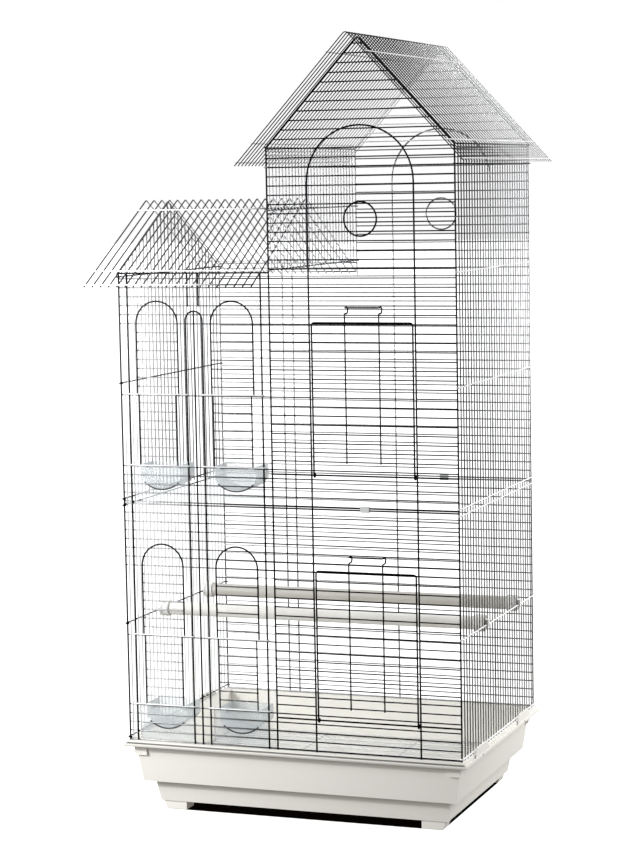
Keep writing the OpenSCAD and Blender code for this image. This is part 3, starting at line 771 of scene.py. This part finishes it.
def wire_paint(name, near, far, way=BACK, start=-0.17, end=0.19, metal=1.0):
    """Bright plated steel with fine drawing marks and a faint cloudiness.

    The colour is a painted reflection of the studio's dark and white sides: it goes from near
    to far as the dot product of way and the place on the wire, in metres, goes from start to end.
    """
    paint = Paint(name)
    cloud, fine = paint.noise(9.0, detail=4.0), paint.noise(900.0, detail=2.0)
    along = paint.node("ShaderNodeVectorMath", {"operation": "DOT_PRODUCT"},
                       {0: paint.place, 1: way})["Value"]
    # Painted reflection: the colour runs from near to far along the way.
    tone = paint.mix(paint.part(along, start, end, "SMOOTHSTEP"), near, far)
    tone = paint.scaled(tone, paint.spread(cloud, 0.8, 1.2))
    rough = paint.spread(cloud, 0.16, 0.30) + fine * 0.05
    return paint.set(Base_Color=tone, Metallic=metal, Roughness=rough,
                     Specular_Tint=(0.2, 0.2, 0.2, 1),
                     Normal=paint.bump(fine, strength=0.06, distance=0.0002))


def tray_paint(name, colour):
    """Moulded ivory plastic: a fine grain, soft clouds of tone and duller patches. On the
    front there is painted shade: the lip is greyer at its foot, and the groove under the bead
    is a dark line."""
    paint = Paint(name)
    low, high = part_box("tray_base")
    at = paint.node("ShaderNodeSeparateXYZ", None, {0: paint.place})
    front_end, lip_foot, bead = low[1] + 4 * MM, high[2] - 17 * MM, high[2] - 8 * MM
    front = paint.part(at["Y"], front_end + MM, front_end)
    # Painted shade on the tray's front: the stops give how far the tone goes towards a quarter of
    # the colour, grey at the lip's foot and a dark line in the groove under the bead.
    lip_and_groove_shade = ((0.0, 0.0), (0.04, 0.5), (0.27, 0.4), (0.33, 0.0),
                       (0.47, 0.0), (0.52, 1.0), (0.66, 1.0), (0.72, 0.0))
    lip = paint.ramp(paint.part(at["Z"], lip_foot, bead),
                     *((stop, (dark,) * 3) for stop, dark in lip_and_groove_shade))
    cloud, grain = paint.noise(3.5, detail=5.0, rough=0.6), paint.noise(1400.0, detail=2.0)
    tone = paint.mix(cloud, tinted(colour, (0.97, 0.965, 0.95)),
                     tinted(colour, (1.03, 1.03, 1.04)))
    # Painted shade: on the front the tone darkens by the lip's stops.
    tone = paint.mix(lip * front, tone, tinted(colour, 0.25))
    rough = paint.spread(cloud, 0.34, 0.50) + grain * 0.08
    return paint.set(Base_Color=tone, Roughness=rough, IOR=1.49,
                     Normal=paint.bump(grain, strength=0.12, distance=0.0003))


def clear_paint(name, colour):
    """Clear plastic with slow waves from the mould and more body at grazing angles, where
    its colour is painted darker: a painted reflection of the dark studio front.
    """
    paint = Paint(name)
    wave, fine = paint.noise(45.0, detail=2.0), paint.noise(300.0, detail=2.0)
    rim = paint.node("ShaderNodeLayerWeight", None, {"Blend": 0.35})["Facing"]
    # Painted reflection: the colour darkens at grazing angles.
    tone = paint.mix(rim ** 2.0, colour, tinted(colour, 0.15))
    return paint.set(Base_Color=tone, Alpha=paint.spread(rim, 0.27, 0.95), IOR=1.5,
                     Roughness=paint.spread(fine, 0.03, 0.14),
                     Normal=paint.bump(wave, strength=0.25, distance=0.0008))


def perch_paint(name, colour):
    """Turned or moulded rod: faint streaks along its length."""
    paint = Paint(name)
    streak = paint.noise(60.0, detail=5.0, rough=0.6, stretch=(0.06, 1.0, 1.0))
    tone = paint.mix(streak, tinted(colour, (0.84, 0.82, 0.78)), tinted(colour, 1.12))
    return paint.set(Base_Color=tone, Roughness=paint.spread(paint.noise(7.0), 0.38, 0.58),
                     Normal=paint.bump(streak, strength=0.2, distance=0.0004))


def dull_paint(name, colour):
    """Matt plastic with a fine grain."""
    paint = Paint(name)
    cloud, grain = paint.noise(20.0), paint.noise(1500.0, detail=2.0)
    tone = paint.mix(cloud, tinted(colour, 0.88), tinted(colour, 1.12))
    return paint.set(Base_Color=tone, Roughness=paint.spread(grain, 0.45, 0.65),
                     Normal=paint.bump(grain, strength=0.15, distance=0.0002))


def made_with(make, *colours, **how):
    """What makes a look, the colours that it takes, and how they lie on the piece."""
    return make, colours, how


# The wire looks are painted reflections of one plated wire: each runs between two of the wire
# colours above, dark where the wire would mirror the dark front and light where it would mirror
# the white back, the brightest with little metal a painted glint. The cup's edge look is
# near-black painted shade, and the tray's look paints shade under its lip.
PAINTS = {
    "wire_chrome": made_with(wire_paint, "wire", "grey"),
    "wire_left": made_with(wire_paint, "light", "grey", start=-0.19, end=-0.03, metal=0.6),
    "wire_pale": made_with(wire_paint, "pale", "pale"),
    "wire_light": made_with(wire_paint, "light", "light", metal=0.3),
    "wire_bright": made_with(wire_paint, "bright", "bright", metal=0.1),
    "wire_rods": made_with(wire_paint, "bright", "wire", way=RIGHT, start=-0.14, end=-0.06,
                           metal=0.1),
    "wire_rows": made_with(wire_paint, "pale", "wire", way=RIGHT, start=-0.22, end=0.02),
    "wire_back": made_with(wire_paint, "pale", "grey", way=RIGHT, start=-0.12, end=0.02),
    "wire_slopes": made_with(wire_paint, "wire", "light", start=0.0, end=0.015, metal=0.2),
    "wire_side": made_with(wire_paint, "grey", "pale", start=-0.5, end=0.2),
    "wire_tall": made_with(wire_paint, "wire", "pale", start=-0.28, end=0.36),
    "wire_gable": made_with(wire_paint, "wire", "light", way=BACK_DOWN, start=-1.2, end=-0.72,
                            metal=0.5),
    "cup_edge": made_with(dull_paint, "wire"),
    "tray_plastic": made_with(tray_paint, "tray"),
    "cup_plastic": made_with(clear_paint, "cup"),
    "clip_plastic": made_with(dull_paint, "clip"),
    "cap_plastic": made_with(dull_paint, "ivory"),
    "perch_ivory": made_with(perch_paint, "ivory"),
    "perch_tan": made_with(perch_paint, "tan"),
}


def paint_of(look):
    """The material of one look, made when it is first asked for."""
    name = "look_" + look
    if name not in bpy.data.materials:
        make, colours, how = PAINTS[look]
        make(name, *(tuple(getattr(setting("cage_finish"), c)) for c in colours), **how)
    return bpy.data.materials[name]


# ---------------- moulded pieces
def apply_modifiers(thing):
    """Puts the result of an object's modifiers in place of its mesh."""
    graph = bpy.context.evaluated_depsgraph_get()
    done = bpy.data.meshes.new_from_object(thing.evaluated_get(graph))
    thing.modifiers.clear()
    thing.data = done


def softened(node, name, width, segments, slot, body):
    """A copy of a CAD node with its faces merged and its edges rounded by width millimetres.
    The shading follows the larger faces, so that flat sides stay flat."""
    one_place, one_plane = 0.002 * MM, math.radians(0.6)
    rounded, sharp = math.radians(28), math.radians(32)
    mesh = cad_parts[node].data.copy()
    work = bmesh.new()
    work.from_mesh(mesh)
    bmesh.ops.remove_doubles(work, verts=work.verts, dist=one_place)
    bmesh.ops.dissolve_limit(work, angle_limit=one_plane, verts=work.verts, edges=work.edges)
    work.to_mesh(mesh)
    work.free()
    thing = bpy.data.objects.new(name, mesh)
    bpy.context.collection.objects.link(thing)
    bevel = thing.modifiers.new("round", "BEVEL")
    bevel.width, bevel.segments = width * MM, segments
    bevel.limit_method, bevel.angle_limit = "ANGLE", rounded
    apply_modifiers(thing)
    thing.data.shade_smooth()
    thing.data.set_sharp_from_angle(angle=sharp)
    even = thing.modifiers.new("even", "WEIGHTED_NORMAL")
    even.weight, even.keep_sharp = 100, True
    apply_modifiers(thing)
    return finish_piece(thing, body, [slot], slot, node)


# ---------------- operators
def wires(name, bundle, body="wire_body", look="wire_chrome"):
    """The round wires that stand for a CAD node, with the look of those that have none."""
    thing = bundle.mesh(name + "_wires")
    return finish_piece(thing, body, [own or look for own in bundle.looks()], "wire_chrome", name)


class CAGE_OT_panels(bpy.types.Operator):
    """Front, back and side panels"""

    bl_idname = "cage.panels"
    bl_label = "Wire panels"

    def execute(self, context):
        s = Layout()
        # Each panel's own look is a painted reflection of the studio, by the side that it faces.
        for name, make, look in (
            ("lower_front_panel", lower_front, "wire_chrome"),
            ("upper_front_panel", upper_front, "wire_chrome"),
            ("lower_right_panel", lower_right, "wire_side"),
            ("upper_right_panel", upper_right, "wire_tall"),
            ("lower_back_panel", lower_back, "wire_back"),
            ("upper_back_panel", upper_back, "wire_back"),
            ("lower_left_panel", lower_left, "wire_light"),
            ("wing_left_panel", wing_left, "wire_left"),
            ("tower_left_panel", tower_left, "wire_pale"),
        ):
            wires(name, make(s), look=look)
        return {"FINISHED"}


class CAGE_OT_roofs(bpy.types.Operator):
    """Roof of the wing and roof of the tower"""

    bl_idname = "cage.roofs"
    bl_label = "Roofs"

    def execute(self, context):
        s = Layout()
        wires("wing_roof", wing_roof(s), look="wire_slopes")
        wires("tower_roof", tower_roof(s), look="wire_gable")
        return {"FINISHED"}


class CAGE_OT_doors(bpy.types.Operator):
    """The two drop-down doors with their latches"""

    bl_idname = "cage.doors"
    bl_label = "Drop-down doors"

    def execute(self, context):
        s = Layout()
        for name, z in (("lower_door", s.low_z), ("upper_door", s.up_z)):
            wires(name, big_door(s, z), name)
        return {"FINISHED"}


class CAGE_OT_feeders(bpy.types.Operator):
    """The sliding feeder doors and the clear cups behind them"""

    bl_idname = "cage.feeders"
    bl_label = "Feeder doors and cups"

    def execute(self, context):
        s = Layout()
        for half, z in (("upper", s.up_z), ("lower", s.low_z)):
            for side, window in zip(("left", "right"), WINDOWS):
                door, cup = f"feeder_door_{half}_{side}", f"feeder_cup_{half}_{side}"
                wires(door, feeder_door(s, z, window), door)
                softened(cup, cup + "_shell", 0.5, 2, "cup_plastic", cup)
                # The trough's lower edge, near black: painted shade of the clear cup.
                edge = cup_edge(s, z, window).mesh(cup + "_edge")
                finish_piece(edge, cup, ["cup_edge"], "cup_plastic")
        return {"FINISHED"}


class CAGE_OT_tray(bpy.types.Operator):
    """Moulded tray and the floor grate"""

    bl_idname = "cage.tray"
    bl_label = "Tray and grate"

    def execute(self, context):
        s = Layout()
        wires("floor_grate", floor_grate(s), "grate", "wire_light")
        softened("tray_base", "tray_moulding", setting("cage_finish").edge, 3, "tray_plastic",
                 "tray")
        return {"FINISHED"}


class CAGE_OT_perches(bpy.types.Operator):
    """Perches, their end caps and the clips at the seam"""

    bl_idname = "cage.perches"
    bl_label = "Perches and clips"

    def execute(self, context):
        for node, name, width, segments, slot in (
            ("front_perch", "front_perch_rod", 1.0, 3, "perch_ivory"),
            ("rear_perch", "rear_perch_rod", 1.0, 3, "perch_tan"),
            ("front_perch_caps", "front_perch_cups", 0.5, 2, "cap_plastic"),
            ("rear_perch_caps", "rear_perch_cups", 0.5, 2, "cap_plastic"),
            ("seam_clips", "seam_snaps", 0.3, 2, "clip_plastic"),
        ):
            softened(node, name, width, segments, slot, "wire_body")
        return {"FINISHED"}


SENSOR, PHOTO_HEIGHT = 36.0, 855  # longer side of the image in mm and in pixels

# Each lamp's name, place, aim and size in metres, and its share of the key light's power
KEY_PLACE, KEY_AIM = (-0.86, -0.96, 0.64), (0, -0.1, 0.15)
LAMPS = (
    ("key_softbox", KEY_PLACE, KEY_AIM, (0.7, 0.7), 0.6),
    ("key_lamp", KEY_PLACE, KEY_AIM, (0.1, 0.1), 0.4),
    ("side_softbox", (1.05, 0.8, 0.65), (0.1, 0, 0.1), (0.5, 0.7), 0.8),
    ("top_softbox", (-0.2, 0.4, 2.6), (0, 0, 0.4), (1.4, 1.4), 1.35),
)


def area_light(name, place, aim, size, power, lit):
    """A softbox that isn't seen itself and lights what the collection lit allows."""
    data = bpy.data.lights.new(name, "AREA")
    data.shape, data.size, data.size_y = "RECTANGLE", size[0], size[1]
    data.energy = power
    lamp = bpy.data.objects.new(name, data)
    lamp.light_linking.receiver_collection = lit
    lamp.location = place
    lamp.rotation_euler = (Vector(aim) - Vector(place)).to_track_quat("-Z", "Y").to_euler()
    lamp.visible_camera = False
    bpy.context.collection.objects.link(lamp)


def footprint(node):
    """Corners of the rectangle round what of a node stands on the floor."""
    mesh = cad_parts[node].data
    co = np.empty(len(mesh.vertices) * 3, np.float32)
    mesh.vertices.foreach_get("co", co)
    co = co.reshape(-1, 3)
    feet = co[co[:, 2] < 0.1 * MM][:, :2]
    return feet.min(0), feet.max(0)


def white_floor(strength):
    """A floor that is white to the camera, dull in reflections, with a lamp of its own.

    It is painted dark where the tray stands over it, a painted shadow: the factor is the
    product over x and y of clamp((h - |p - c|) / 1 mm), with c and h the middle and half size
    of the footprint. Its lamp takes no shadow from the cage. The collection that is returned
    keeps the light of the other lamps off it.
    """
    half, sunk = 30, 0.5 * MM
    corners = [(-half, -half), (half, -half), (half, half), (-half, half)]
    floor = mesh_object("studio_floor", np.array([(*corner, -sunk) for corner in corners]),
                        [np.array([[0, 1, 2, 3]])])
    paint = Paint("studio_white")
    place = paint.node("ShaderNodeSeparateXYZ", None, {0: paint.place})
    # Painted shadow: under is 1 over the tray's footprint, where the floor is painted near black.
    under = 1.0
    for axis, low, high in zip("XY", *footprint("tray_base")):
        away = paint.node("ShaderNodeMath", {"operation": "ABSOLUTE"},
                          {0: place[axis] - float(low + high) / 2})[0]
        half = float(high - low) / 2
        under = under * paint.part(away, half, half - MM)
    # shade is the colour of the painted shadow under the tray.
    white, shade = (0.95, 0.95, 0.95), (0.0015, 0.001, 0.0007)
    paint.set(Base_Color=paint.mix(under, white, shade), Roughness=0.9, Specular_IOR_Level=0.0)
    dull = paint.node("ShaderNodeBsdfDiffuse", None, {"Color": (0.16, 0.15, 0.14, 1)})[0]
    seen = paint.node("ShaderNodeLightPath")["Is Camera Ray"]
    both = paint.node("ShaderNodeMixShader", None,
                      {0: seen, 1: dull, 2: Value(paint, paint.shader.outputs[0])})[0]
    paint.put(paint.tree.nodes["Material Output"].inputs["Surface"], both)
    floor.data.materials.append(paint.material)
    lamp = bpy.data.objects.new("floor_light", bpy.data.lights.new("floor_light", "SUN"))
    lamp.data.energy, lamp.data.angle = strength, math.radians(50)
    bpy.context.collection.objects.link(lamp)
    lit = bpy.data.collections.new("floor_only")
    lit.objects.link(floor)
    lamp.light_linking.receiver_collection = lamp.light_linking.blocker_collection = lit
    others = bpy.data.collections.new("not_the_floor")
    others.objects.link(floor)
    others.collection_objects[0].light_linking.link_state = "EXCLUDE"
    return others


def studio_air(dark, bright):
    """World: white to the camera, and for the cage bright behind and above, dark in front."""
    world = bpy.data.worlds.new("studio_air")
    world.use_nodes = True
    air = Kit(world.node_tree)
    way = air.node("ShaderNodeSeparateXYZ", None,
                   {0: air.node("ShaderNodeTexCoord")["Generated"]})
    behind = air.part(way["Y"] + way["Z"] * 0.35, start=-0.1, end=0.7, how="SMOOTHSTEP")
    glow = air.mix(behind, (dark,) * 3, (bright,) * 3)
    seen = air.node("ShaderNodeLightPath")["Is Camera Ray"]
    air.put(air.tree.nodes["Background"].inputs["Color"], air.mix(seen, glow, (1, 1, 1)))
    return world


def photo_camera(st):
    """A camera that looks along y, turned left by yaw, then tilted down by pitch, then
    turned about its own line of sight by roll."""
    data = bpy.data.cameras.new("photo_camera")
    data.sensor_width, data.lens = SENSOR, st.focal / PHOTO_HEIGHT * SENSOR
    data.clip_start, data.clip_end = 0.05, 100
    cam = bpy.data.objects.new("photo_camera", data)
    bpy.context.collection.objects.link(cam)
    yaw, pitch, roll = (math.radians(v) for v in (st.yaw, st.pitch, st.roll))
    fwd = np.array([-math.sin(yaw) * math.cos(pitch), math.cos(yaw) * math.cos(pitch),
                    -math.sin(pitch)])
    right = np.array([math.cos(yaw), math.sin(yaw), 0.0])
    up = np.cross(right, fwd)
    right, up = (math.cos(roll) * right + math.sin(roll) * up,
                 -math.sin(roll) * right + math.cos(roll) * up)
    turned = np.eye(4)
    turned[:3, :3], turned[:3, 3] = np.stack([right, up, -fwd], 1), tuple(st.place)
    cam.matrix_world = Matrix(turned.tolist())
    return cam


class CAGE_OT_stage(bpy.types.Operator):
    """White floor, soft lights and the camera"""

    bl_idname = "cage.stage"
    bl_label = "Studio"

    def execute(self, context):
        scene, st = context.scene, setting("cage_stage")
        lit = white_floor(st.floor)
        scene.world = studio_air(st.dim, st.glow)
        scene.view_settings.view_transform = "Standard"
        for name, place, aim, size, share in LAMPS:
            area_light(name, place, aim, size, st.key * share, lit)
        scene.camera = photo_camera(st)
        return {"FINISHED"}


class CAGE_PT_panel(bpy.types.Panel):
    """Lists the steps that dress the cage"""

    bl_idname = "CAGE_PT_panel"
    bl_label = "Canary cage"
    bl_space_type = "VIEW_3D"
    bl_region_type = "UI"
    bl_category = "Cage"

    def draw(self, context):
        for step in STEPS:
            self.layout.operator(step.bl_idname)
        for name, group in SETTINGS.items():
            box = self.layout.box()
            for key in group.__annotations__:
                box.prop(getattr(context.scene, name), key)


STEPS = (CAGE_OT_panels, CAGE_OT_roofs, CAGE_OT_doors, CAGE_OT_feeders, CAGE_OT_tray,
         CAGE_OT_perches, CAGE_OT_stage)
CLASSES = (*SETTINGS.values(), *STEPS, CAGE_PT_panel)


def register():
    for cls in CLASSES:
        bpy.utils.register_class(cls)
    for name, group in SETTINGS.items():
        setattr(bpy.types.Scene, name, PointerProperty(type=group))


def unregister():
    for name in SETTINGS:
        delattr(bpy.types.Scene, name)
    for cls in reversed(CLASSES):
        bpy.utils.unregister_class(cls)


def main():
    register()
    for step in STEPS:
        group, name = step.bl_idname.split(".")
        getattr(getattr(bpy.ops, group), name)()


if __name__ == "__main__":
    main()
